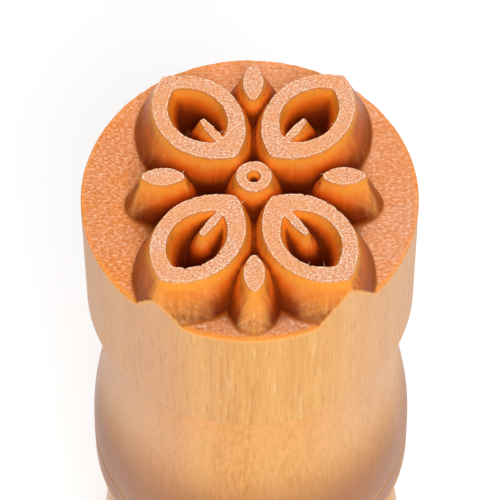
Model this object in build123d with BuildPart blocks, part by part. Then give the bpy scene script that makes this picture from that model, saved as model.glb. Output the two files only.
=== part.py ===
from build123d import *
import os
from math import radians, tan

# A turned hardwood hand stamp. It stands on the end of its grip with the carved face up.
# The stamp head, the collar and the grip are three turned pieces stacked on one glued
# dowel. The origin is the centre of the base, +Z runs up to the carved face and -Y is
# the front. All lengths are in millimetres and all angles in degrees.

# ---- Driving dimensions: the turned stack ----
blank_radius = 12.7           # the collar and the grip fill a one-inch turning blank
head_radius = 12.5            # the head is turned just clean of the same blank
floor_height = 72.0           # floor of the carved face above the base
head_thickness = 12.5         # from the floor down to the head's underside
collar_length = 19.0
head_edge_radius = 0.6        # rounding of the head's lower edge
joint_groove_depth = 0.35     # small V where the collar meets the grip

# Collar: the neck is hollowed under the head, then the shoulder swells to full width.
neck_radius = 8.8
neck_top_radius = 9.6
shoulder_top = 56.2
shoulder_top_radius = 9.2

# Grip: a lip under the collar, a narrow waist, and a swell that fills the palm.
lip_bottom = 37.6
lip_root_radius = 11.9
lip_root_height = 36.6
waist_radius = 10.4
waist_height = 33.6
grip_shoulder_radius = 11.6
grip_shoulder_height = 30.4
swell_height = 17.0
base_radius = 9.3
heel_rise = 1.4               # the heel is rounded by this much, out and up

head_bottom = floor_height - head_thickness
collar_bottom = head_bottom - collar_length

# ---- Driving dimensions: the carved relief ----
relief_height = 4.0
wall_draft = 20.5             # slope of every carved wall away from vertical
motif_centre = (0.3, -0.9)    # the flower sits a little off the head's axis
land_width = 1.1              # width of the petal's outline along its sides
land_width_at_start = 1.7     # the outline is stouter at both pointed ends
land_width_at_tip = 1.4

petal_start = 2.2             # distances are measured from the flower's centre
petal_end = 11.2
petal_half_width = 3.1
petal_angles = (53, 127, 233, 307)
sepal_length = 3.4
sepal_half_width = 0.75
side_sepal_start = 4.9
end_sepal_start = 6.7
tip_radius = 0.35             # every pointed tip is blunted by the cutter

vein_start = 2.8
vein_end = 7.0
vein_half_width = 0.32
vein_blunting = 0.2
boss_radius = 1.3
dimple_radius = 0.55
dimple_depth = 0.9
dimple_tip_radius = 0.1

relief_root = 0.4             # how far the raised leaves are rooted below the floor
turning_allowance = 1.5       # the disc is this much oversize until its side is turned

land_height = floor_height + relief_height
relief_depth = relief_height + relief_root
boss_spread = relief_depth * tan(radians(wall_draft))

# ---- Driving dimensions: the hidden dowel ----
dowel_radius = 4.0            # a stock 8 x 40 beech dowel
dowel_length = 40.0
dowel_chamfer = 0.8
glue_gap = 0.06               # radial room for glue round the dowel
end_gap = 0.5                 # room for glue beyond each end of the dowel
flute_count = 12
flute_radius = 0.35
head_bore_depth = 8.0

bore_radius = dowel_radius + glue_gap
bore_top = head_bottom + head_bore_depth
dowel_top = bore_top - end_gap
dowel_bottom = dowel_top - dowel_length
bore_bottom = dowel_bottom - end_gap

# ---- Planes ----
land_plane = Plane.XY.offset(land_height)
head_bottom_plane = Plane.XY.offset(head_bottom)
dowel_bottom_plane = Plane.XY.offset(dowel_bottom)


def pointed_oval(start, end, half_width, blunting=0.0):
    """A leaf-shaped sketch along +X, from x = start to x = end, made of two arcs."""
    middle = (start + end) / 2
    with BuildSketch() as leaf:
        with BuildLine():
            ThreePointArc((start, 0), (middle, half_width), (end, 0))
            ThreePointArc((end, 0), (middle, -half_width), (start, 0))
        make_face()
        if blunting > 0:
            fillet(leaf.vertices(), radius=blunting)
    return leaf.sketch


def at_angle(angle):
    """The flower's centre on the land plane, turned so that +X points along a petal."""
    return Location((*motif_centre, 0), (0, 0, angle))


petal = pointed_oval(petal_start, petal_end, petal_half_width, tip_radius)
pocket = pointed_oval(
    petal_start + land_width_at_start,
    petal_end - land_width_at_tip,
    petal_half_width - land_width,
)
vein = pointed_oval(vein_start, vein_end, vein_half_width, vein_blunting)
side_sepal = pointed_oval(
    side_sepal_start, side_sepal_start + sepal_length, sepal_half_width, tip_radius
)
end_sepal = pointed_oval(
    end_sepal_start, end_sepal_start + sepal_length, sepal_half_width, tip_radius
)
raised_leaves = [(petal, angle) for angle in petal_angles]
raised_leaves += [(side_sepal, 0), (side_sepal, 180), (end_sepal, 90), (end_sepal, 270)]

# ---- Stamp head: end-grain block with the flower carved in its top ----
with BuildPart() as stamp_head:
    # An oversize disc carries the floor; its side is turned true after the carving.
    with BuildSketch(head_bottom_plane):
        Circle(head_radius + turning_allowance)
    extrude(amount=head_thickness)
    # Every raised leaf is a flat land whose walls spread downwards into the disc.
    for leaf_sketch, angle in raised_leaves:
        with BuildSketch(land_plane):
            with Locations(at_angle(angle)):
                add(leaf_sketch)
        extrude(amount=-relief_depth, taper=-wall_draft)
    with Locations(Location((*motif_centre, land_height - relief_depth))):
        Cone(
            boss_radius + boss_spread,
            boss_radius,
            relief_depth,
            align=(Align.CENTER, Align.CENTER, Align.MIN),
        )
    # Each petal is hollowed by a pocket that narrows downwards, with a vein left in it.
    for angle in petal_angles:
        with BuildSketch(land_plane):
            with Locations(at_angle(angle)):
                add(pocket)
        extrude(amount=-relief_height, taper=wall_draft, mode=Mode.SUBTRACT)
    for angle in petal_angles:
        with BuildSketch(land_plane):
            with Locations(at_angle(angle)):
                add(vein)
        extrude(amount=-relief_depth, taper=-wall_draft)
    # A small conical dimple marks the middle of the boss.
    with Locations(Location((*motif_centre, land_height - dimple_depth))):
        Cone(
            dimple_tip_radius,
            dimple_radius,
            dimple_depth,
            align=(Align.CENTER, Align.CENTER, Align.MIN),
            mode=Mode.SUBTRACT,
        )
    # Turning the side cuts off the walls that would pass the rim.
    with BuildSketch(head_bottom_plane):
        Circle(head_radius)
    extrude(amount=head_thickness + relief_height, mode=Mode.INTERSECT)
    underside = stamp_head.faces().sort_by(Axis.Z)[0]
    fillet(underside.edges(), radius=head_edge_radius)
    # Blind dowel bore in the underside.
    with BuildSketch(head_bottom_plane):
        Circle(bore_radius)
    extrude(amount=head_bore_depth, mode=Mode.SUBTRACT)

stamp_head.part.label = "stamp_head"

# ---- Collar: neck and shoulder, turned, with the dowel passing through it ----
with BuildPart() as collar:
    with BuildSketch(Plane.XZ) as collar_profile:
        with BuildLine():
            Polyline(
                (neck_top_radius, head_bottom),
                (bore_radius, head_bottom),
                (bore_radius, collar_bottom),
                (blank_radius - joint_groove_depth, collar_bottom),
                (blank_radius, collar_bottom + joint_groove_depth),
            )
            # The shoulder is one slow arc that leaves the widest place upright.
            TangentArc(
                (blank_radius, collar_bottom + joint_groove_depth),
                (shoulder_top_radius, shoulder_top),
                tangent=(0, 1),
            )
            ThreePointArc(
                (shoulder_top_radius, shoulder_top),
                (neck_radius, (shoulder_top + head_bottom) / 2),
                (neck_top_radius, head_bottom),
            )
        make_face()
    revolve(axis=Axis.Z)

collar.part.label = "collar"

# ---- Grip: lip, waist and palm swell, standing on its flat end ----
with BuildPart() as grip:
    with BuildSketch(Plane.XZ) as grip_profile:
        with BuildLine():
            Polyline(
                (blank_radius, lip_bottom),
                (blank_radius, collar_bottom - joint_groove_depth),
                (blank_radius - joint_groove_depth, collar_bottom),
                (bore_radius, collar_bottom),
                (bore_radius, bore_bottom),
                (0, bore_bottom),
                (0, 0),
                (base_radius, 0),
            )
            # Rounded heel, palm swell, waist and the underside of the lip.
            TangentArc(
                (base_radius, 0),
                (base_radius + heel_rise, heel_rise),
                tangent=(1, 0),
            )
            ThreePointArc(
                (base_radius + heel_rise, heel_rise),
                (blank_radius, swell_height),
                (grip_shoulder_radius, grip_shoulder_height),
            )
            ThreePointArc(
                (grip_shoulder_radius, grip_shoulder_height),
                (waist_radius, waist_height),
                (lip_root_radius, lip_root_height),
            )
            TangentArc(
                (blank_radius, lip_bottom),
                (lip_root_radius, lip_root_height),
                tangent=(0, -1),
            )
        make_face()
    revolve(axis=Axis.Z)

grip.part.label = "grip"

# ---- Joining dowel: fluted, chamfered at both ends, glued into all three pieces ----
with BuildPart() as joining_dowel:
    with BuildSketch(dowel_bottom_plane) as dowel_section:
        Circle(dowel_radius)
        with PolarLocations(dowel_radius, flute_count):
            Circle(flute_radius, mode=Mode.SUBTRACT)
    extrude(amount=dowel_length)
    with BuildSketch(Plane.XZ) as chamfer_envelope:
        with BuildLine():
            Polyline(
                (0, dowel_bottom),
                (dowel_radius - dowel_chamfer, dowel_bottom),
                (dowel_radius, dowel_bottom + dowel_chamfer),
                (dowel_radius, dowel_top - dowel_chamfer),
                (dowel_radius - dowel_chamfer, dowel_top),
                (0, dowel_top),
                close=True,
            )
        make_face()
    revolve(axis=Axis.Z, mode=Mode.INTERSECT)

joining_dowel.part.label = "joining_dowel"

# ---- Files ----
os.makedirs("parts", exist_ok=True)
export_step(stamp_head.part, "parts/stamp_head.step")
export_step(collar.part, "parts/collar.step")
export_step(grip.part, "parts/grip.step")
export_step(joining_dowel.part, "parts/joining_dowel.step")
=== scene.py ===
import math

import bpy
import numpy as np
from mathutils import Matrix, Vector


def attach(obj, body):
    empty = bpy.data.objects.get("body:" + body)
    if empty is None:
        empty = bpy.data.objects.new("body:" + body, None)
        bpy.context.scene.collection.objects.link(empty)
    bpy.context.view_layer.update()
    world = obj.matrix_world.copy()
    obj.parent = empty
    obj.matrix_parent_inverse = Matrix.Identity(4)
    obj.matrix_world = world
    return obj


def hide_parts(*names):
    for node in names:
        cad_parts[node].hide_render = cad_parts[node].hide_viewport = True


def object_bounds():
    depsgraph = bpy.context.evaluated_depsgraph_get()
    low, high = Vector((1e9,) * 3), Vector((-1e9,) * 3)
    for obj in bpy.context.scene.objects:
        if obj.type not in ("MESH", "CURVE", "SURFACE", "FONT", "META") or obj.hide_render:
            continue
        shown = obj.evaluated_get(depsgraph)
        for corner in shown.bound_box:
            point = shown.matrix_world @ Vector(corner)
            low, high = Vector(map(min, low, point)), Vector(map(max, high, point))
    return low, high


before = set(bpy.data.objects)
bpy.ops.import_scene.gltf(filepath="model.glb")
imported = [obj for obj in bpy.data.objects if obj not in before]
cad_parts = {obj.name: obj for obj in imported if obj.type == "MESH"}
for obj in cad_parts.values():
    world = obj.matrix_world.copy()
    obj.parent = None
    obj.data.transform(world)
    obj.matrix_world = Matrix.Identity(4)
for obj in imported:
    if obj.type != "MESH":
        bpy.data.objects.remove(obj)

cad_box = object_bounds()

# A turned wooden hand stamp, face up. The CAD model gives every size and place; this script
# remakes the carved head and the turned handle as finer meshes and gives the wood its look.
# Lengths below are in millimetres until a mesh is made, and MM turns them into metres.
MM = 0.001

# ---- Choices for the look: lengths in millimetres, and a few counts ----
GRID_STEP = 0.088             # spacing of the carved face's mesh
LAND_ROUGHNESS = 0.030        # how uneven the sawn end grain of the lands is
FLOOR_ROUGHNESS = 0.065       # the routed floor is rougher
WALL_STREAKS = 0.0216         # fibres showing on the sloping walls
PASS_SPACING = 0.62           # distance between the router's passes over the floor
OUTLINE_WOBBLE = 0.032        # the outlines are not perfectly true
CHIP_DEPTH = 0.22             # small bites out of the land edges
FOOT_BLEND = 0.10             # the cutter leaves a small fillet where wall meets floor
RIM_BREAK = 0.07              # the rim's edge is very slightly broken
SPLINTERS = 90                # number of torn fibres left along the land edges
SIDE_STREAKS = 0.010          # grain standing on the head's side
TURNING_STEP = 0.25           # spacing of the rings of the turned handle
TURNING_RINGS = 0.010         # fine rings left by the turning tool
OUT_OF_TRUE = 0.015           # the handle has moved a little since it was turned
COLUMNS = 160                 # vertices round each ring of the turned handle
HEAD_SIDE_ROWS = 26           # rows of faces down the head's side
NOISE_TABLE = 256             # the seeded noise repeats after this many cells

# ---- Choices for the studio: lengths in metres, angles in degrees ----
FLOOR_HALF_WIDTH = 12.0
FLOOR_WHITE = 0.86
FLOOR_GLOW = 0.17
WORLD_STRENGTH = 0.40
LIGHT_DISTANCE = 0.60
CAMERA_ELEVATION = 55.87      # direction from the face to the camera, above the horizon
CAMERA_PITCH = 56.72          # how far the camera looks down
CAMERA_ROLL = -0.28
CAMERA_DISTANCE = 10.64       # in head widths
CAMERA_LENS = 259.2           # focal length in millimetres on a 36 mm sensor


# ---- Seeded noise on a lattice ----
def lattice_noise(x, y, cell, seed):
    """Smooth noise from -1 to 1 over points x, y, with lumps about cell across."""
    table = np.random.default_rng(seed).uniform(-1, 1, (NOISE_TABLE, NOISE_TABLE))
    u, v = x / cell, y / cell
    iu, iv = np.floor(u).astype(int), np.floor(v).astype(int)
    fu, fv = u - iu, v - iv
    fu, fv = fu * fu * (3 - 2 * fu), fv * fv * (3 - 2 * fv)

    def corner(du, dv):
        return table[(iu + du) % NOISE_TABLE, (iv + dv) % NOISE_TABLE]

    low = corner(0, 0) * (1 - fu) + corner(1, 0) * fu
    high = corner(0, 1) * (1 - fu) + corner(1, 1) * fu
    return low * (1 - fv) + high * fv


def smooth_step(value, start, end):
    """0 up to start, 1 from end on, eased between them."""
    t = np.clip((value - start) / (end - start), 0, 1)
    return t * t * (3 - 2 * t)


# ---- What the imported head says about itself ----
def read_triangles(node):
    """The node's triangles as an array of corner positions in millimetres."""
    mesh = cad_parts[node].data
    mesh.calc_loop_triangles()
    points = np.array([v.co for v in mesh.vertices]) / MM
    corners = np.array([t.vertices for t in mesh.loop_triangles])
    return points[corners]


def outline_loops(triangles):
    """The closed boundary loops, in plan, of a flat patch of triangles."""
    def plan_key(point):
        return (round(float(point[0]), 4), round(float(point[1]), 4))

    edges = {}
    for triangle in triangles:
        corners = [plan_key(point) for point in triangle]
        for a, b in zip(corners, corners[1:] + corners[:1]):
            if (b, a) in edges:
                del edges[(b, a)]
            else:
                edges[(a, b)] = True
    following = {}
    for a, b in edges:
        following.setdefault(a, []).append(b)
    loops = []
    while following:
        start = next(iter(following))
        loop, here = [], start
        while here in following:
            loop.append(here)
            after = following[here].pop()
            if not following[here]:
                del following[here]
            here = after
        if len(loop) > 2:
            loops.append(np.array(loop))
    return loops


def measure_head():
    """Heights, radii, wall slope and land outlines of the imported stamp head.

    The lands are the level triangles at the very top, the floor is the other level ground
    in the upper half, and the walls are what slopes steeply above the floor."""
    triangles = read_triangles("stamp_head")
    normals = np.cross(triangles[:, 1] - triangles[:, 0], triangles[:, 2] - triangles[:, 0])
    areas = np.linalg.norm(normals, axis=1) / 2
    normals = normals / np.maximum(2 * areas, 1e-12)[:, None]
    heights = triangles[:, :, 2]
    top, bottom = heights.max(), heights.min()
    level = (normals[:, 2] > 0.999) & (np.ptp(heights, axis=1) < 1e-3)
    lands = level & (heights.max(axis=1) > top - 1e-3)
    below = level & ~lands & (heights.mean(axis=1) > (top + bottom) / 2)
    floor = np.average(heights[below].mean(axis=1), weights=areas[below])
    walls = (normals[:, 2] > 0.2) & (normals[:, 2] < 0.6) & (heights.min(axis=1) > floor - 0.01)
    lean = np.average(normals[walls, 2], weights=areas[walls])
    radii = np.linalg.norm(triangles[:, :, :2], axis=2)
    side_bottom = heights[radii > radii.max() - 0.005].min()
    bore = (radii.max(axis=1) < radii.max() / 2) & (heights.max(axis=1) < floor - 0.5)
    return {
        "top": top,
        "floor": floor,
        "bottom": bottom,
        "radius": radii.max(),
        "run": (top - floor) * lean / math.sqrt(1 - lean * lean),
        "edge_radius": side_bottom - bottom,
        "bore_radius": radii[bore].max(),
        "bore_top": heights[bore].max(),
        "loops": outline_loops(triangles[lands]),
    }


def signed_distance(points, loops):
    """Distance in plan from each point to the lands' outlines, negative on the lands."""
    starts = np.concatenate(loops)
    ends = np.concatenate([np.roll(loop, -1, axis=0) for loop in loops])
    spans = ends - starts
    lengths = (spans ** 2).sum(axis=1)
    result = np.empty(len(points))
    batch = 4000                  # points at a time, to keep the arrays small
    for first in range(0, len(points), batch):
        here = points[first:first + batch, None, :]
        along = np.clip(((here - starts) * spans).sum(axis=2) / lengths, 0, 1)
        gaps = here - (starts + along[:, :, None] * spans)
        nearest = np.sqrt((gaps ** 2).sum(axis=2).min(axis=1))
        crosses = (starts[:, 1] > here[:, :, 1]) != (ends[:, 1] > here[:, :, 1])
        rise = np.where(spans[:, 1] == 0, 1, spans[:, 1])
        reach = starts[:, 0] + (here[:, :, 1] - starts[:, 1]) * spans[:, 0] / rise
        inside = (crosses & (reach > here[:, :, 0])).sum(axis=1) % 2 == 1
        result[first:first + batch] = np.where(inside, -nearest, nearest)
    return result


head = measure_head()


# ---- The carved face as a fine height field ----
def wobble(x, y):
    """How far the carver's outline strays at each point."""
    slow = lattice_noise(x, y, 1.3, 1)
    fast = lattice_noise(x, y, 0.30, 2)
    return OUTLINE_WOBBLE * (0.8 * slow + 0.7 * fast)


def face_heights(gap):
    """Height of the carved face where gap is the distance outside the lands' outlines."""
    top, floor, run = head["top"], head["floor"], head["run"]
    wall = top - np.maximum(gap, 0) * (top - floor) / run
    # A soft maximum of wall and floor leaves the cutter's fillet at the foot.
    soft = 4 * FOOT_BLEND
    blend = np.clip(0.5 + 0.5 * (wall - floor) / soft, 0, 1)
    height = floor + (wall - floor) * blend + soft * blend * (1 - blend)
    height = np.where(wall > floor + soft, wall, height)
    return np.where(wall < floor - soft, floor, height)


def face_noise(x, y, gap, height):
    """Change of height from the cut wood's texture: lands, walls and floor differ."""
    depth = (head["top"] - height) / (head["top"] - head["floor"])
    on_land = 1 - smooth_step(gap, -0.04, 0.05)
    on_floor = smooth_step(depth, 0.93, 1.0)
    on_wall = (1 - on_land) * (1 - on_floor)
    stipple = 0.6 * lattice_noise(x, y, 0.17, 3) + 0.4 * lattice_noise(x, y, 0.42, 4) - 0.35
    # The floor keeps the faint parallel marks of the routing passes, and end-grain pits.
    wander = 0.10 * lattice_noise(x, y, 2.2, 5)
    passes = np.sin(2 * math.pi * (y + wander) / PASS_SPACING)
    pits = lattice_noise(x, y, 0.24, 6) * 0.55 + lattice_noise(x, y, 0.7, 7) * 0.45
    streaks = 0.7 * lattice_noise(x, y, 0.21, 8) + 0.3 * lattice_noise(x, y, 0.55, 9)
    change = on_land * LAND_ROUGHNESS * stipple
    change += on_floor * FLOOR_ROUGHNESS * (0.25 * passes + 0.75 * pits)
    change += on_wall * WALL_STREAKS * streaks
    # Bites along the land edges, where end grain crumbles.
    crumbling = lattice_noise(x, y, 0.33, 10) + 0.5 * lattice_noise(x, y, 0.13, 11)
    bites = smooth_step(crumbling, 0.50, 1.05)
    along_edge = np.exp(-((gap + 0.02) / 0.075) ** 2)
    return change - CHIP_DEPTH * bites * along_edge


def snapped_grid():
    """Plan positions of the face's vertices and their gap to the lands.

    A square grid covers the head. Vertices near the lands' outlines, near the foot of the
    walls and near the rim are moved onto them, so that those edges stay crisp."""
    radius, step = head["radius"], GRID_STEP
    count = int(math.ceil(radius / step)) + 2
    line = np.arange(-count, count + 1) * step
    x, y = (a.ravel() for a in np.meshgrid(line, line, indexing="ij"))
    gap = np.full(len(x), 9.0)
    used = np.hypot(x, y) < radius + 2 * step
    points = np.c_[x, y][used]
    gap[used] = signed_distance(points, head["loops"]) + wobble(x[used], y[used])
    side = 2 * count + 1
    slope_x, slope_y = np.gradient(gap.reshape(side, side), step)
    slope_x, slope_y = slope_x.ravel(), slope_y.ravel()
    steepness = np.maximum(slope_x ** 2 + slope_y ** 2, 0.3)
    for level in (0.0, head["run"]):
        near = used & (np.abs(gap - level) < 0.5 * step) & (np.hypot(x, y) < radius - step)
        shift = (level - gap[near]) / steepness[near]
        x[near] += shift * slope_x[near]
        y[near] += shift * slope_y[near]
        gap[near] = level
    distance = np.hypot(x, y)
    on_rim = np.abs(distance - radius) <= 0.5 * step
    pull = radius / distance[on_rim]
    x[on_rim] *= pull
    y[on_rim] *= pull
    inside = on_rim | (distance < radius)
    return side, x, y, gap, inside


def face_triangles(side, inside, gap):
    """Two triangles for each grid square, split along the direction in which gap varies least."""
    index = np.arange(side * side).reshape(side, side)
    a, b = index[:-1, :-1].ravel(), index[1:, :-1].ravel()
    c, d = index[1:, 1:].ravel(), index[:-1, 1:].ravel()
    use_ac = np.abs(gap[a] - gap[c]) < np.abs(gap[b] - gap[d])
    use_ac = np.where(~inside[a] | ~inside[c], False, use_ac)
    use_ac = np.where(~inside[b] | ~inside[d], True, use_ac)
    first = np.where(use_ac[:, None], np.c_[a, b, c], np.c_[a, b, d])
    second = np.where(use_ac[:, None], np.c_[a, c, d], np.c_[b, c, d])
    triangles = np.concatenate([first, second])
    return triangles[inside[triangles].all(axis=1)]


def triangle_edges(triangles):
    """The three directed edges of every triangle, as rows of two vertex numbers."""
    return np.concatenate([triangles[:, [0, 1]], triangles[:, [1, 2]], triangles[:, [2, 0]]])


def boundary_ring(triangles):
    """The outer boundary vertices of the face in order, anticlockwise from above."""
    forward = {(int(p), int(q)) for p, q in triangle_edges(triangles)}
    following = {p: q for p, q in forward if (q, p) not in forward}
    start = next(iter(following))
    ring = [start]
    while following[ring[-1]] != start:
        ring.append(following[ring[-1]])
    return np.array(ring)


def enclosure(x, y, height):
    """How shut in each point is: 0 under a whole open sky, 1 where none of it shows.

    The highest ground is looked for along a number of directions, out to reach."""
    cell, reach, directions = 0.2, 7.0, 20
    half = int((head["radius"] + reach) / cell) + 2
    column = np.round(x / cell).astype(int) + half
    row = np.round(y / cell).astype(int) + half
    total, count = np.zeros((2 * half + 1,) * 2), np.zeros((2 * half + 1,) * 2)
    np.add.at(total, (column, row), height)
    np.add.at(count, (column, row), 1)
    level = np.where(count > 0, total / np.maximum(count, 1), head["bottom"])
    hidden = np.zeros(len(x))
    for turn in np.arange(directions) * 2 * math.pi / directions:
        steepest = np.zeros(len(x))
        for distance in np.arange(0.3, reach, cell):
            u = np.round((x + distance * math.cos(turn)) / cell).astype(int) + half
            v = np.round((y + distance * math.sin(turn)) / cell).astype(int) + half
            steepest = np.maximum(steepest, (level[u, v] - height) / distance)
        hidden += steepest ** 2 / (1 + steepest ** 2)
    return hidden / directions


def front_facing(x, y, height, triangles):
    """How far each wall leans towards the front: 1 for walls that face -Y, 0 for the rest."""
    points = np.c_[x, y, height][triangles]
    normals = np.cross(points[:, 1] - points[:, 0], points[:, 2] - points[:, 0])
    total = np.zeros((len(x), 3))
    for corner in range(3):
        np.add.at(total, triangles[:, corner], normals)
    sideways = np.maximum(np.hypot(total[:, 0], total[:, 1]), 1e-9)
    return np.clip(-total[:, 1] / sideways, 0, 1)


def soften_valleys(triangles, gap, height):
    """The cutter's point leaves the valleys between walls slightly round."""
    edges = triangle_edges(triangles)
    at_foot = smooth_step(gap, head["run"] - 0.12, head["run"])
    weight = smooth_step(gap, 0.12, 0.30) * (1 - at_foot)
    for _ in range(3):
        total, count = np.zeros(len(height)), np.zeros(len(height))
        np.add.at(total, edges[:, 0], height[edges[:, 1]])
        np.add.at(count, edges[:, 0], 1)
        mean = total / np.maximum(count, 1)
        height = np.where(mean > height, height + 0.6 * weight * (mean - height), height)
    return height


def build_head_mesh():
    """Vertices, faces and per-vertex values of the whole head, carved face to dowel bore."""
    side, x, y, gap, inside = snapped_grid()
    triangles = face_triangles(side, inside, gap)
    kept = np.unique(triangles)
    renumber = np.full(side * side, -1)
    renumber[kept] = np.arange(len(kept))
    triangles = renumber[triangles]
    x, y, gap = x[kept], y[kept], gap[kept]
    height = soften_valleys(triangles, gap, face_heights(gap))
    depth = np.clip((head["top"] - height) / (head["top"] - head["floor"]), 0, 1)
    front = front_facing(x, y, height, triangles)
    height = height + face_noise(x, y, gap, height)
    ring = boundary_ring(triangles)
    rim = np.arctan2(y[ring], x[ring])
    x[ring], y[ring] = head["radius"] * np.cos(rim), head["radius"] * np.sin(rim)
    height[ring] -= RIM_BREAK * (0.8 + 0.4 * lattice_noise(rim * 12, rim * 0, 0.5, 12))

    rings = side_rings(rim, height[ring])
    vertices = np.concatenate([np.c_[x, y, height]] + rings)
    faces = [tuple(t) for t in triangles.tolist()]
    around = len(ring)
    upper = ring
    for row in range(len(rings)):
        lower = len(x) + row * around + np.arange(around)
        next_upper, next_lower = np.roll(upper, -1), np.roll(lower, -1)
        faces += [tuple(f) for f in np.c_[upper, lower, next_lower, next_upper].tolist()]
        upper = lower
    faces.append(tuple(upper[::-1].tolist()))
    extra = len(vertices) - len(x)
    # The side, the underside and the bore get plain values; only the rim mask for the painted rim
    # light carries on.
    values = {
        "land": np.r_[1 - smooth_step(gap, -0.02, 0.05), np.zeros(extra)],
        "depth": np.r_[depth, np.ones(extra)],
        "face": np.r_[np.ones(len(x)), np.zeros(extra)],
        "enclosed": np.r_[enclosure(x, y, height), np.zeros(extra)],
        "edge": np.r_[np.exp(-((gap + 0.05) / 0.13) ** 2), np.zeros(extra)],
        "rim": np.r_[smooth_step(np.hypot(x, y), head["radius"] - 0.5, head["radius"] - 0.1),
                     np.ones(around), np.zeros(extra - around)],
        "front": np.r_[front, np.zeros(extra)],
    }
    values["face"][ring] = 0.5
    return add_splinters(vertices, faces, values, gap)


def add_splinters(vertices, faces, values, gap):
    """Tiny closed slivers of torn fibre, standing on the lands close to their edges."""
    chance = np.random.default_rng(41)
    # A root inside a chip would bury its splinter in the chip's wall.
    unchipped = vertices[:len(gap), 2] > head["top"] - 0.06
    at_edge = np.flatnonzero((gap > -0.12) & (gap < -0.02) & unchipped)
    roots = vertices[chance.choice(at_edge, SPLINTERS, replace=False)]
    start = len(vertices)
    points = []
    for root in roots:
        turn, rise = chance.uniform(0, 2 * math.pi), chance.uniform(0.0, 0.3)
        length, width = chance.uniform(0.15, 0.55), chance.uniform(0.018, 0.035)
        along = np.array([math.cos(turn) * math.cos(rise), math.sin(turn) * math.cos(rise),
                          math.sin(rise)])
        across = np.array([-math.sin(turn), math.cos(turn), 0])
        up = np.cross(along, across)
        foot = root - 0.05 * along + np.array([0, 0, 0.025])
        middle = foot + 0.4 * length * along
        for angle in (math.pi / 2, math.pi * 7 / 6, math.pi * 11 / 6):
            points.append(middle + width * (math.cos(angle) * across + math.sin(angle) * up))
        # The tail is rooted in the wood under the land, so that no splinter floats.
        points += [root - np.array([0, 0, 0.08]),
                   foot + length * along - 0.12 * length * up * chance.uniform(-1, 1)]
        first = start + len(points) - 5
        a, b, c, tail, tip = range(first, first + 5)
        for p, q in ((a, b), (b, c), (c, a)):
            faces += [(p, q, tip), (q, p, tail)]
    extra = len(points)
    fill = {"land": 1.0, "face": 1.0, "edge": 1.0}
    values = {k: np.r_[v, np.full(extra, fill.get(k, 0.0))] for k, v in values.items()}
    return np.concatenate([vertices, np.array(points)]), faces, values


def side_rings(rim, rim_height):
    """Rings of vertices down the head's side, round its lower edge and into the dowel bore."""
    radius, bottom, edge = head["radius"], head["bottom"], head["edge_radius"]
    rings = []
    around, level = rim * radius, rim * 0
    grain = lattice_noise(around, level, 0.28, 13) + 0.5 * lattice_noise(around, level, 0.75, 14)
    for row in range(1, HEAD_SIDE_ROWS + 1):
        # The first rows are close together, just under the rim.
        share = (row / HEAD_SIDE_ROWS) ** 1.25
        z = rim_height + (bottom + edge - rim_height) * share
        drift = lattice_noise(around, z, 2.5, 15)
        streaks = SIDE_STREAKS * (grain * (0.6 + 0.4 * drift) - 0.6)
        r = radius + streaks * smooth_step(share, 0, 0.03)
        rings.append(np.c_[r * np.cos(rim), r * np.sin(rim), z])
    for turn in np.linspace(0, math.pi / 2, 6)[1:]:
        r = radius - edge * (1 - math.cos(turn)) - SIDE_STREAKS * 0.6
        z = np.full(len(rim), bottom + edge * (1 - math.sin(turn)))
        rings.append(np.c_[r * np.cos(rim), r * np.sin(rim), z])
    bore = head["bore_radius"]
    for r, z in ((bore + 0.3, bottom), (bore, bottom + 0.3), (bore, head["bore_top"])):
        rings.append(np.c_[r * np.cos(rim), r * np.sin(rim), np.full(len(rim), z)])
    return rings


def make_piece(name, vertices, faces, values):
    """A mesh object from millimetre vertices, with one float attribute for each value."""
    mesh = bpy.data.meshes.new(name)
    mesh.from_pydata((np.asarray(vertices) * MM).tolist(), [], faces)
    mesh.validate()
    for key, data in values.items():
        attribute = mesh.attributes.new(key, "FLOAT", "POINT")
        attribute.data.foreach_set("value", np.asarray(data, np.float32))
    mesh.polygons.foreach_set("use_smooth", [True] * len(mesh.polygons))
    mesh.update()
    piece = bpy.data.objects.new(name, mesh)
    bpy.context.scene.collection.objects.link(piece)
    return piece


head_vertices, head_faces, head_values = build_head_mesh()
carved_head = make_piece("carved_stamp_head", head_vertices, head_faces, head_values)
carved_head.data.set_sharp_from_angle(angle=math.radians(38))
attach(carved_head, "root")
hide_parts("stamp_head")


# ---- Turned pieces, remade from the outline of their CAD nodes ----
def read_outline(node):
    """Points (radius, height) of a turned node's outer surface, from bottom to top."""
    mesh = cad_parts[node].data
    points = np.array([v.co for v in mesh.vertices]) / MM
    radius = np.hypot(points[:, 0], points[:, 1])
    outer = radius > radius.max() / 2
    pairs = np.round(np.c_[radius[outer], points[outer, 2]], 2)
    return np.array(sorted(set(map(tuple, pairs.tolist())), key=lambda p: (p[1], p[0])))


def thin_outline(points):
    """One point for each height, apart from the flat ends, where the outermost one counts."""
    kept = [points[0]]
    for point in points[1:]:
        if point[1] - kept[-1][1] < 0.03:
            if point[0] > kept[-1][0] or len(kept) > 1:
                kept[-1] = np.maximum(kept[-1], point)
        else:
            kept.append(point)
    kept[0][1], kept[-1][1] = points[0][1], points[-1][1]
    return np.array(kept)


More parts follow.
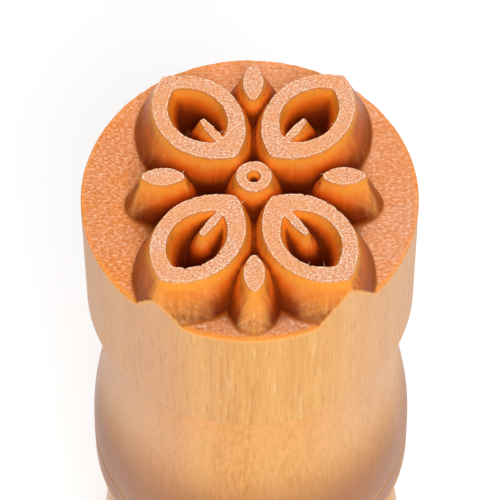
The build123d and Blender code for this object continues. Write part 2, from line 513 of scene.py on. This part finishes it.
def smooth_outline(points, step):
    """The outline resampled every step or so, curved between corners that turn sharply."""
    spans = np.diff(points, axis=0)
    heading = np.unwrap(np.arctan2(spans[:, 1], spans[:, 0]))
    corner = np.r_[True, np.abs(np.diff(heading)) > math.radians(16), True]
    result = [points[0]]
    for i in range(len(points) - 1):
        before = points[i] if corner[i] else points[i - 1]
        after = points[i + 1] if corner[i + 1] else points[i + 2]
        leave = (points[i + 1] - before) / (1 if corner[i] else 2)
        arrive = (after - points[i]) / (1 if corner[i + 1] else 2)
        length = np.linalg.norm(points[i + 1] - points[i])
        for t in np.linspace(0, 1, max(2, int(math.ceil(length / step)) + 1))[1:]:
            a, b = 2 * t ** 3 - 3 * t * t + 1, t ** 3 - 2 * t * t + t
            c, d = 3 * t * t - 2 * t ** 3, t ** 3 - t * t
            result.append(a * points[i] + b * leave + c * points[i + 1] + d * arrive)
    return np.array(result)


def dark_band_at(rise):
    """Strength of the painted dark reflection, strongest at the joint and fading out above and
    below it.
    """
    if rise > 0:
        return 1 - smooth_step(rise, 3.0, 11.5)
    return 1 - smooth_step(-rise, 1.5, 4.5)


def turn_piece(name, node, seed, bore_bottom=None):
    """A closed lathe mesh of a turned node; the bore runs right through or is blind."""
    outline = smooth_outline(thin_outline(read_outline(node)), TURNING_STEP)
    low, high = outline[0, 1], outline[-1, 1]
    joint = low if bore_bottom is None else high
    angle = np.arange(COLUMNS) * 2 * math.pi / COLUMNS
    rings, joint_highlight, dark_reflection_band = [], [], []

    def add_ring(r, z, joint_highlight_here=0.0, dark_band_amount=0.0):
        r = np.broadcast_to(r, angle.shape)
        rings.append(np.c_[r * np.cos(angle), r * np.sin(angle), np.full(COLUMNS, z)])
        joint_highlight.append(joint_highlight_here)
        dark_reflection_band.append(dark_band_amount)

    bore = head["bore_radius"]
    add_ring(bore, low if bore_bottom is None else bore_bottom)
    add_ring(bore, high)
    add_ring(0.5 * (bore + outline[-1, 0]), high)
    full = outline[:, 0].max()
    for r, z in outline[::-1]:
        height = np.full(COLUMNS, z)
        fine_rings = lattice_noise(height, height * 0, 0.30, seed)
        broad_rings = lattice_noise(height, height * 0, 1.1, seed + 1)
        tool = 0.55 * fine_rings + 0.45 * broad_rings
        out_of_true = lattice_noise(angle * full, height * 0, full * math.pi / 4, seed + 2)
        at_ends = smooth_step(min(z - low, high - z), 0.0, 0.4)
        ring_r = r + at_ends * (TURNING_RINGS * (tool - 1) + OUT_OF_TRUE * (out_of_true - 1))
        near_joint = math.exp(-((z - joint) / 0.30) ** 2)
        add_ring(ring_r, z, near_joint, dark_band_at(z - joint))
    if bore_bottom is None:
        add_ring(0.5 * (bore + outline[0, 0]), low)
    else:
        add_ring(0.5 * outline[0, 0], low)
    vertices = np.concatenate(rings)
    faces = []
    count = len(rings)
    # A through bore joins the last ring to the first; a blind one is capped at both ends.
    for row in range(count if bore_bottom is None else count - 1):
        here = (row % count) * COLUMNS + np.arange(COLUMNS)
        below = ((row + 1) % count) * COLUMNS + np.arange(COLUMNS)
        next_here, next_below = np.roll(here, -1), np.roll(below, -1)
        faces += [tuple(f) for f in np.c_[here, below, next_below, next_here].tolist()]
    if bore_bottom is not None:
        faces.append(tuple(range(COLUMNS)))
        faces.append(tuple(range(count * COLUMNS - 1, (count - 1) * COLUMNS - 1, -1)))
    values = {"joint_highlight": np.repeat(joint_highlight, COLUMNS), "dark_reflection_band": np.repeat(dark_reflection_band, COLUMNS)}
    piece = make_piece(name, vertices, faces, values)
    piece.data.set_sharp_from_angle(angle=math.radians(30))
    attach(piece, "root")
    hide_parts(node)
    return piece


def bore_floor(node):
    """Height of the bottom of a blind bore."""
    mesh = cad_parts[node].data
    points = np.array([v.co for v in mesh.vertices]) / MM
    inner = np.hypot(points[:, 0], points[:, 1]) < head["bore_radius"] + 0.01
    return points[inner & (points[:, 2] > 1)][:, 2].min()


turned_collar = turn_piece("turned_collar", "collar", 21)
turned_grip = turn_piece("turned_grip", "grip", 31, bore_bottom=bore_floor("grip"))


# ---- Materials: a small kit for building node trees ----
class Nodes:
    """Adds nodes to one material and joins them; every maker returns an output socket."""

    def __init__(self, name):
        self.material = bpy.data.materials.new(name)
        self.material.use_nodes = True
        self.tree = self.material.node_tree
        self.tree.nodes.clear()
        self.output = self.tree.nodes.new("ShaderNodeOutputMaterial")
        self.shader = self.tree.nodes.new("ShaderNodeBsdfPrincipled")
        self.tree.links.new(self.shader.outputs["BSDF"], self.output.inputs["Surface"])

    def put(self, socket, value):
        """Feed a socket from another node's output, or set its own plain value."""
        if isinstance(value, bpy.types.NodeSocket):
            self.tree.links.new(value, socket)
        elif isinstance(value, (tuple, list)) and socket.type == "RGBA":
            socket.default_value = (*value[:3], 1)
        else:
            socket.default_value = value

    def place(self, scale, offset=(0, 0, 0)):
        """Object coordinates, with scale given in pattern cells per millimetre."""
        where = self.tree.nodes.new("ShaderNodeTexCoord")
        mapping = self.tree.nodes.new("ShaderNodeMapping")
        self.put(mapping.inputs["Vector"], where.outputs["Object"])
        mapping.inputs["Scale"].default_value = [s / MM for s in scale]
        mapping.inputs["Location"].default_value = offset
        return mapping.outputs["Vector"]

    def noise(self, scale, detail=2.0, roughness=0.5, distortion=0.0, offset=(0, 0, 0)):
        node = self.tree.nodes.new("ShaderNodeTexNoise")
        self.put(node.inputs["Vector"], self.place(scale, offset))
        node.inputs["Scale"].default_value = 1.0
        node.inputs["Detail"].default_value = detail
        node.inputs["Roughness"].default_value = roughness
        node.inputs["Distortion"].default_value = distortion
        return node.outputs["Fac"]

    def cells(self, scale):
        """Distance to the nearest of many scattered points, for pores."""
        node = self.tree.nodes.new("ShaderNodeTexVoronoi")
        self.put(node.inputs["Vector"], self.place(scale))
        node.inputs["Scale"].default_value = 1.0
        return node.outputs["Distance"]

    def along(self, axis):
        """The object coordinate along one axis, in millimetres."""
        split = self.tree.nodes.new("ShaderNodeSeparateXYZ")
        self.put(split.inputs["Vector"], self.place((1, 1, 1)))
        return split.outputs[axis]

    def attribute(self, name):
        node = self.tree.nodes.new("ShaderNodeAttribute")
        node.attribute_name = name
        return node.outputs["Fac"]

    def math(self, operation, a, b=0.0, c=0.0):
        node = self.tree.nodes.new("ShaderNodeMath")
        node.operation = operation
        for socket, value in zip(node.inputs, (a, b, c)):
            self.put(socket, value)
        return node.outputs["Value"]

    def remap(self, value, low, high, start=0.0, end=1.0):
        """value from low..high to start..end, clamped and eased."""
        node = self.tree.nodes.new("ShaderNodeMapRange")
        node.interpolation_type = "SMOOTHSTEP"
        for socket, v in zip(node.inputs, (value, low, high, start, end)):
            self.put(socket, v)
        return node.outputs["Result"]

    def mix(self, factor, a, b):
        """Two colours mixed by factor. Sockets 6, 7 and 2 are the Mix node's colour ones."""
        node = self.tree.nodes.new("ShaderNodeMix")
        node.data_type = "RGBA"
        self.put(node.inputs[0], factor)
        self.put(node.inputs[6], a)
        self.put(node.inputs[7], b)
        return node.outputs[2]

    def blend(self, factor, a, b):
        """Two plain numbers mixed by factor, through the Mix node's number sockets."""
        node = self.tree.nodes.new("ShaderNodeMix")
        self.put(node.inputs[0], factor)
        self.put(node.inputs[2], a)
        self.put(node.inputs[3], b)
        return node.outputs[0]

    def bump(self, height, depth_mm, normal=None):
        node = self.tree.nodes.new("ShaderNodeBump")
        node.inputs["Strength"].default_value = 1.0
        node.inputs["Distance"].default_value = depth_mm * MM
        self.put(node.inputs["Height"], height)
        if normal is not None:
            self.put(node.inputs["Normal"], normal)
        return node.outputs["Normal"]


def fibres(kit):
    """Patterns that all the wood shares, running along Z: fibre, band and pore."""
    fibre = kit.noise((3.4, 3.4, 0.16), detail=3.0, roughness=0.62)
    band = kit.noise((0.42, 0.16, 0.012), detail=3.0, roughness=0.55, distortion=0.4)
    pore = kit.cells((2.3, 2.3, 0.30))
    return fibre, band, kit.remap(pore, 0.10, 0.24, 1.0, 0.0)


def head_patterns(kit):
    """Every mesh value and pattern that the parts of the head's look share, by name."""
    values = ("land", "depth", "face", "enclosed", "edge", "rim", "front")
    seen = {name: kit.attribute(name) for name in values}
    seen["fibre"], seen["band"], seen["pore"] = fibres(kit)
    seen["floor"] = kit.remap(seen["depth"], 0.90, 0.99)
    seen["hair"] = kit.noise((6.5, 6.5, 0.45), detail=2.0, roughness=0.7, offset=(2, 5, 0))
    seen["flecks"] = kit.noise((5.0, 12.0, 8.0), detail=2.0, roughness=0.7, offset=(4, 1, 2))
    seen["grit"] = kit.noise((7.0, 10.0, 7.0), detail=2.0, roughness=0.6, offset=(7, 3, 9))
    seen["cloud"] = kit.noise((0.30, 0.42, 0.30), detail=2.0, offset=(1, 8, 3))
    seen["fibre_ends"] = kit.noise((3.2, 5.0, 3.0), detail=2.5, roughness=0.6, offset=(9, 2, 4))
    # Painted light: the rim is painted bright orange, more so towards the front.
    towards_front = kit.remap(kit.along("Y"), -2.0, -11.0, 0.25, 0.75)
    seen["lit_rim"] = kit.math("MULTIPLY", seen["rim"], towards_front)
    return seen


def head_side(kit, seen):
    """Colour of the turned side: straight grain with fine light and dark hairs, a painted sheen
    at its left and right, and painted rim light.
    """
    band, hair = seen["band"], seen["hair"]
    side = kit.mix(kit.remap(seen["fibre"], 0.25, 0.75), (0.70, 0.28, 0.045), (0.84, 0.40, 0.085))
    side = kit.mix(kit.remap(band, 0.36, 0.66, 0.0, 0.5), side, (0.90, 0.47, 0.13))
    side = kit.mix(kit.remap(hair, 0.54, 0.72, 0.0, 0.42), side, (0.97, 0.66, 0.33))
    side = kit.mix(kit.remap(hair, 0.28, 0.40, 0.45, 0.0), side, (0.58, 0.20, 0.030))
    # Painted sheen: the side is painted pinker and paler towards its left and right ends, and
    # golden in the middle.
    sheen_across = kit.math("ADD", kit.along("X"), kit.math("MULTIPLY", band, 6.0))
    side = kit.mix(kit.remap(sheen_across, -7.0, 3.0, 0.62, 0.0), side, (0.68, 0.37, 0.23))
    side = kit.mix(kit.remap(sheen_across, 8.0, 14.0, 0.0, 0.5), side, (0.76, 0.42, 0.26))
    side = kit.mix(kit.math("MULTIPLY", seen["pore"], 0.30), side, (0.44, 0.15, 0.03))
    return kit.mix(seen["lit_rim"], side, (0.98, 0.42, 0.06))


def head_floor(kit, seen):
    """Colour of the routed floor: end grain with light fibre ends and dark pits, with painted
    shade where shut in, a painted sheen at the back and painted rim light.
    """
    cloud, fibre_ends, flecks = seen["cloud"], seen["fibre_ends"], seen["flecks"]
    drift = kit.math("ADD", kit.along("X"), kit.math("MULTIPLY", cloud, 6.0))
    ground = kit.mix(kit.remap(drift, -6.0, 8.0), (0.76, 0.25, 0.065), (0.76, 0.30, 0.13))
    ground = kit.mix(kit.remap(cloud, 0.40, 0.66, 0.0, 0.25), ground, (0.90, 0.30, 0.05))
    # Painted sheen: the floor is painted brighter towards the back, for the back light's
    # reflection.
    back_sheen = kit.remap(kit.along("Y"), 5.0, 12.0, 0.0, 0.7)
    ground = kit.mix(back_sheen, ground, (1.0, 0.36, 0.13))
    ground = kit.mix(kit.remap(fibre_ends, 0.50, 0.68, 0.0, 0.6), ground, (0.97, 0.62, 0.42))
    ground = kit.mix(kit.remap(fibre_ends, 0.34, 0.50, 0.5, 0.0), ground, (0.54, 0.13, 0.028))
    light = kit.math("MULTIPLY", kit.remap(flecks, 0.50, 0.66), kit.remap(cloud, 0.66, 0.40))
    ground = kit.mix(kit.math("MULTIPLY", light, 0.45), ground, (0.98, 0.70, 0.52))
    ground = kit.mix(kit.remap(flecks, 0.30, 0.42, 0.5, 0.0), ground, (0.46, 0.09, 0.012))
    # Painted shade where the floor is shut in.
    pocket_shade = kit.remap(seen["enclosed"], 0.40, 0.62, 0.0, 0.8)
    ground = kit.mix(pocket_shade, ground, (0.26, 0.065, 0.015))
    return kit.mix(seen["lit_rim"], ground, (1.0, 0.34, 0.02))


def head_lands(kit, seen):
    """Colour of the lands: sawn end grain, speckled, with pale broken edges."""
    grit, flecks = seen["grit"], seen["flecks"]
    top = kit.mix(kit.remap(grit, 0.38, 0.60), (0.62, 0.19, 0.065), (0.92, 0.45, 0.235))
    top = kit.mix(kit.remap(flecks, 0.50, 0.62, 0.0, 0.85), top, (1.0, 0.80, 0.64))
    top = kit.mix(kit.remap(flecks, 0.28, 0.42, 0.6, 0.0), top, (0.50, 0.12, 0.030))
    top = kit.mix(kit.remap(seen["cloud"], 0.38, 0.62, 0.0, 0.45), top, (0.88, 0.34, 0.11))
    broken = kit.remap(kit.math("MULTIPLY", seen["edge"], grit), 0.38, 0.58)
    return kit.mix(broken, top, (1.0, 0.80, 0.58))


def head_walls(kit, seen):
    """Colour of the walls: amber, with painted light on those that face the front, painted glow
    under the lands, and painted shade the deeper and more shut in they are.
    """
    depth, enclosed = seen["depth"], seen["enclosed"]
    grain = kit.remap(seen["fibre"], 0.25, 0.80, 0.0, 0.6)
    # Painted light and shade: walls that face the front are painted bright for the light from the
    # front, and walls that face elsewhere are painted dark.
    shaded_side_wall = kit.mix(grain, (0.36, 0.075, 0.010), (0.50, 0.130, 0.022))
    lit_front_wall = kit.mix(grain, (0.88, 0.29, 0.040), (0.98, 0.42, 0.090))
    # Painted sheen: lower down, the front walls are painted duller and paler, with whitish
    # streaks, for the front light's reflection.
    lit_front_wall = kit.mix(kit.remap(depth, 0.35, 0.95, 0.0, 0.6), lit_front_wall, (0.74, 0.29, 0.085))
    painted_sheen = kit.math("MULTIPLY", kit.remap(seen["hair"], 0.46, 0.64), kit.remap(depth, 0.2, 0.7))
    lit_front_wall = kit.mix(kit.math("MULTIPLY", painted_sheen, 0.6), lit_front_wall, (0.92, 0.54, 0.25))
    open_wall = kit.mix(kit.remap(seen["front"], 0.25, 0.75), shaded_side_wall, lit_front_wall)
    # Painted light and shade in shut-in places: bright orange just under the lands, then painted
    # shade that grows darker with depth, darkest where most shut in.
    pocket_wall_shading = kit.mix(kit.remap(depth, 0.08, 0.36), (1.0, 0.29, 0.020), (0.76, 0.135, 0.009))
    pocket_wall_shading = kit.mix(kit.remap(depth, 0.30, 0.66), pocket_wall_shading, (0.30, 0.042, 0.003))
    pocket_wall_shading = kit.mix(kit.remap(depth, 0.60, 0.95), pocket_wall_shading, (0.12, 0.015, 0.002))
    wall = kit.mix(kit.remap(enclosed, 0.28, 0.46), open_wall, pocket_wall_shading)
    wall = kit.mix(kit.remap(enclosed, 0.42, 0.66, 0.0, 0.9), wall, (0.15, 0.017, 0.0015))
    # Painted glow: open walls are painted bright orange just under the lands.
    glow_near_top, in_open = kit.remap(depth, 0.0, 0.24, 0.85, 0.0), kit.remap(enclosed, 0.60, 0.42)
    wall = kit.mix(kit.math("MULTIPLY", glow_near_top, in_open), wall, (1.0, 0.36, 0.030))
    # Painted shade in the crease at the foot of the walls.
    crease_shade = kit.math("MULTIPLY", kit.remap(depth, 0.82, 0.92), kit.remap(depth, 0.99, 0.95))
    return kit.mix(kit.math("MULTIPLY", crease_shade, 0.6), wall, (0.48, 0.10, 0.006))


def head_material(name, ior):
    """Pale hardwood: grained side, rough end-grain floor and lands, polished amber walls."""
    kit = Nodes(name)
    seen = head_patterns(kit)
    land, floor, face = seen["land"], seen["floor"], seen["face"]
    colour = kit.mix(floor, head_walls(kit, seen), head_floor(kit, seen))
    colour = kit.mix(land, colour, head_lands(kit, seen))
    colour = kit.mix(face, head_side(kit, seen), colour)
    kit.put(kit.shader.inputs["Base Color"], colour)

    rough_face = kit.blend(floor, 0.34, 0.62)
    rough_face = kit.blend(land, rough_face, 0.68)
    kit.put(kit.shader.inputs["Roughness"], kit.blend(face, 0.50, rough_face))

    # The side's fibres stand up a little, and the floor and lands are stippled.
    strands = kit.math("ADD", seen["fibre"], seen["hair"])
    strands = kit.math("MULTIPLY", strands, kit.blend(face, 1.0, 0.2))
    rough_parts = kit.math("MULTIPLY", kit.math("MAXIMUM", land, floor), face)
    speckle = kit.math("ADD", seen["flecks"], kit.blend(land, seen["fibre_ends"], seen["grit"]))
    stipple = kit.math("MULTIPLY", speckle, rough_parts)
    bumps = kit.bump(stipple, 0.085, kit.bump(strands, 0.045))
    kit.put(kit.shader.inputs["Normal"], bumps)
    kit.shader.inputs["IOR"].default_value = ior
    kit.shader.inputs["Subsurface Weight"].default_value = 0.08
    kit.shader.inputs["Subsurface Radius"].default_value = (1.0, 0.45, 0.20)
    kit.shader.inputs["Subsurface Scale"].default_value = 0.5 * MM
    return kit.material


def handle_material():
    """The same wood, turned and oiled, with a painted sheen on its flanks above the joint, a
    painted dark reflection in a band at the joint and a painted highlight along the joint.
    """
    kit = Nodes("handle_wood_look")
    joint_highlight, dark_reflection_band = kit.attribute("joint_highlight"), kit.attribute("dark_reflection_band")
    fibre, band, pore = fibres(kit)
    colour = kit.mix(kit.remap(fibre, 0.24, 0.76), (0.70, 0.28, 0.05), (0.90, 0.42, 0.10))
    colour = kit.mix(kit.remap(band, 0.38, 0.66, 0.0, 0.5), colour, (0.92, 0.48, 0.15))
    colour = kit.mix(kit.math("MULTIPLY", pore, 0.25), colour, (0.42, 0.15, 0.03))
    smudge = kit.noise((0.16, 0.16, 0.10), detail=3.0, offset=(3, 7, 1))
    # Painted sheen: the handle is painted paler and pinker towards its left.
    sheen_across = kit.math("ADD", kit.along("X"), kit.math("MULTIPLY", band, 6.0))
    colour = kit.mix(kit.remap(sheen_across, -7.0, 3.0, 0.5, 0.0), colour, (0.70, 0.36, 0.20))
    # Painted sheen: the handle's flanks above the joint are painted pale.
    flank = kit.remap(kit.math("ABSOLUTE", kit.along("X")), 3.0, 11.0, 0.10, 0.50)
    flank_sheen = kit.math("MULTIPLY", kit.remap(kit.along("Z"), 46.0, 53.0), flank)
    colour = kit.mix(flank_sheen, colour, (0.84, 0.56, 0.39))
    # Painted dark reflection: a dark band round the handle at the joint.
    dark_band_mix = kit.math("MULTIPLY", dark_reflection_band, kit.remap(band, 0.3, 0.7, 0.76, 0.90))
    colour = kit.mix(dark_band_mix, colour, (0.33, 0.100, 0.030))
    # Painted highlight: a pale line along the joint.
    colour = kit.mix(kit.math("MULTIPLY", joint_highlight, 0.65), colour, (0.92, 0.66, 0.42))
    kit.put(kit.shader.inputs["Base Color"], colour)
    kit.put(kit.shader.inputs["Roughness"], kit.remap(smudge, 0.3, 0.7, 0.32, 0.46))
    kit.put(kit.shader.inputs["Normal"], kit.bump(fibre, 0.022))
    kit.shader.inputs["IOR"].default_value = 1.35
    kit.shader.inputs["Coat Weight"].default_value = 0.12
    kit.shader.inputs["Coat Roughness"].default_value = 0.35
    kit.shader.inputs["Subsurface Weight"].default_value = 0.12
    kit.shader.inputs["Subsurface Radius"].default_value = (1.0, 0.38, 0.14)
    kit.shader.inputs["Subsurface Scale"].default_value = 0.6 * MM
    return kit.material


def dowel_material():
    """Plain pale beech with its short dark flecks, matte and unfinished."""
    kit = Nodes("dowel_wood_look")
    fibre, band, pore = fibres(kit)
    colour = kit.mix(kit.remap(fibre, 0.28, 0.75), (0.62, 0.40, 0.22), (0.80, 0.58, 0.37))
    colour = kit.mix(kit.math("MULTIPLY", pore, 0.6), colour, (0.38, 0.20, 0.10))
    colour = kit.mix(kit.remap(band, 0.4, 0.7, 0.0, 0.4), colour, (0.72, 0.47, 0.29))
    kit.put(kit.shader.inputs["Base Color"], colour)
    kit.put(kit.shader.inputs["Roughness"], kit.remap(fibre, 0.3, 0.7, 0.6, 0.72))
    kit.put(kit.shader.inputs["Normal"], kit.bump(fibre, 0.04))
    return kit.material


def paint(piece, material):
    """Make this the piece's only material."""
    piece.data.materials.clear()
    piece.data.materials.append(material)


paint(carved_head, head_material("head_face_look", 1.15))
carved_head.data.materials.append(head_material("head_side_look", 1.50))
# The carved face is all triangles; the side, the underside and the bore are not.
off_face = [1 if len(face.vertices) > 3 else 0 for face in carved_head.data.polygons]
carved_head.data.polygons.foreach_set("material_index", off_face)
turned_look = handle_material()
paint(turned_collar, turned_look)
paint(turned_grip, turned_look)
paint(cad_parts["joining_dowel"], dowel_material())


# ---- Stage: a plain pale floor under the grip ----
def make_stage():
    """A wide white floor just under the base, faintly bright of its own."""
    half = FLOOR_HALF_WIDTH
    mesh = bpy.data.meshes.new("studio_floor")
    corners = [(-half, -half, 0), (half, -half, 0), (half, half, 0), (-half, half, 0)]
    mesh.from_pydata(corners, [], [(0, 1, 2, 3)])
    floor = bpy.data.objects.new("studio_floor", mesh)
    bpy.context.scene.collection.objects.link(floor)
    floor.location.z = cad_box[0].z - 0.02 * MM
    kit = Nodes("studio_white")
    kit.shader.inputs["Base Color"].default_value = (*[FLOOR_WHITE] * 3, 1)
    kit.shader.inputs["Roughness"].default_value = 0.9
    kit.shader.inputs["Specular IOR Level"].default_value = 0.1
    kit.shader.inputs["Emission Color"].default_value = (1, 1, 1, 1)
    kit.shader.inputs["Emission Strength"].default_value = FLOOR_GLOW
    paint(floor, kit.material)


def make_world():
    """Even white light from all round."""
    world = bpy.data.worlds.new("studio_world")
    world.use_nodes = True
    background = world.node_tree.nodes["Background"]
    background.inputs["Color"].default_value = (1, 1, 1, 1)
    background.inputs["Strength"].default_value = WORLD_STRENGTH
    bpy.context.scene.world = world


def soft_light(name, azimuth, elevation, size, power):
    """A square soft box aimed at the head. Azimuth 0 is in front, on -Y; 90 is on +X."""
    a, e = math.radians(azimuth), math.radians(elevation)
    away = Vector((math.sin(a) * math.cos(e), -math.cos(a) * math.cos(e), math.sin(e)))
    data = bpy.data.lights.new(name, "AREA")
    data.shape = "SQUARE"
    data.size = size
    data.energy = power
    lamp = bpy.data.objects.new(name, data)
    lamp.location = head_centre + away * LIGHT_DISTANCE
    lamp.rotation_mode = "QUATERNION"
    lamp.rotation_quaternion = away.to_track_quat("Z", "Y")
    lamp.visible_camera = False
    bpy.context.scene.collection.objects.link(lamp)


head_centre = Vector((0, 0, head["floor"] * MM))
make_stage()
make_world()
soft_light("front_box", azimuth=8, elevation=46, size=0.24, power=1.95)
soft_light("top_back_box", azimuth=172, elevation=62, size=0.40, power=2.00)


# ---- Camera: a long lens looking down at the face from the front ----
def make_camera():
    """A long lens, aimed a little below the face so that the head sits high in the view."""
    elevation = math.radians(CAMERA_ELEVATION)
    distance = CAMERA_DISTANCE * 2 * head["radius"] * MM
    pitch, roll = math.radians(CAMERA_PITCH), math.radians(CAMERA_ROLL)
    data = bpy.data.cameras.new("camera")
    data.sensor_width = 36
    data.lens = CAMERA_LENS
    data.clip_start, data.clip_end = 0.01, 20
    camera = bpy.data.objects.new("camera", data)
    back = Vector((0, -math.cos(elevation), math.sin(elevation)))
    camera.location = head_centre + back * distance
    camera.rotation_mode = "QUATERNION"
    look = Vector((0, math.cos(pitch), -math.sin(pitch)))
    turn = look.to_track_quat("-Z", "Y").to_matrix() @ Matrix.Rotation(roll, 3, "Z")
    camera.rotation_quaternion = turn.to_quaternion()
    bpy.context.scene.collection.objects.link(camera)
    bpy.context.scene.camera = camera


make_camera()
bpy.context.scene.view_settings.view_transform = "Standard"
